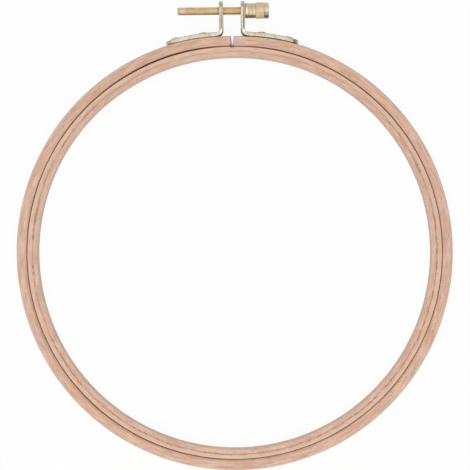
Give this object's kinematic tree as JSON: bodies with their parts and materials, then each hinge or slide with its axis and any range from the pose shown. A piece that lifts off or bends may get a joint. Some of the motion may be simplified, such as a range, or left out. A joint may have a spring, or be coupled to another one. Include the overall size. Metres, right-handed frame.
{
  "type": "embroidery hoop",
  "caption": "Round wooden embroidery hoop: a split outer ring with metal brackets and a thumb screw clamps cloth over a two-ply inner ring.",
  "frame": {"origin": "centre of the opening, at half the height of the rings", "axes": "+Z along the ring axis, +Y from the centre to the clamping screw, +X along the screw to its knob"},
  "size_m": [0.168, 0.1811, 0.008],
  "materials": {
    "outer_wood": "bare sanded beech",
    "inner_wood": "bare sanded beech",
    "strip_brass": "pale satin plating",
    "nail_brass": "pale satin plating",
    "screw_brass": "plain machined",
    "knob_brass": "pale machined, straight knurl"
  },
  "bodies": {
    "right_half": {"outer_ring_right": "outer_wood", "right_bracket": "strip_brass", "right_near_nail": "nail_brass", "right_far_nail": "nail_brass"},
    "left_half": {"outer_ring_left": "outer_wood", "left_bracket": "strip_brass", "left_near_nail": "nail_brass", "left_far_nail": "nail_brass"},
    "screw": {"clamp_screw": "screw_brass", "thumb_knob": "knob_brass"},
    "inner_ring": {"inner_ring_outer_ply": "inner_wood", "inner_ring_inner_ply": "inner_wood"}
  },
  "joints": [
    {"name": "screw_turn", "type": "hinge", "parent": "right_half", "child": "screw", "pos_m": [0, 0.09335, 0], "axis": [1, 0, 0], "range_deg": [0, 3600]},
    {"name": "hoop_opening_flex", "type": "hinge", "parent": "right_half", "child": "left_half", "pos_m": [-0.0067, -0.08405, 0], "axis": [0, 0, 1], "range_deg": [0, 1.63]},
    {"name": "inner_ring_lift", "type": "slide", "parent": "right_half", "child": "inner_ring", "axis": [0, 0, 1], "range_m": [0, 0.02]}
  ],
  "couplings": [
    {"joint": "hoop_opening_flex", "follows": "screw_turn", "ratio": 0.00044858}
  ]
}
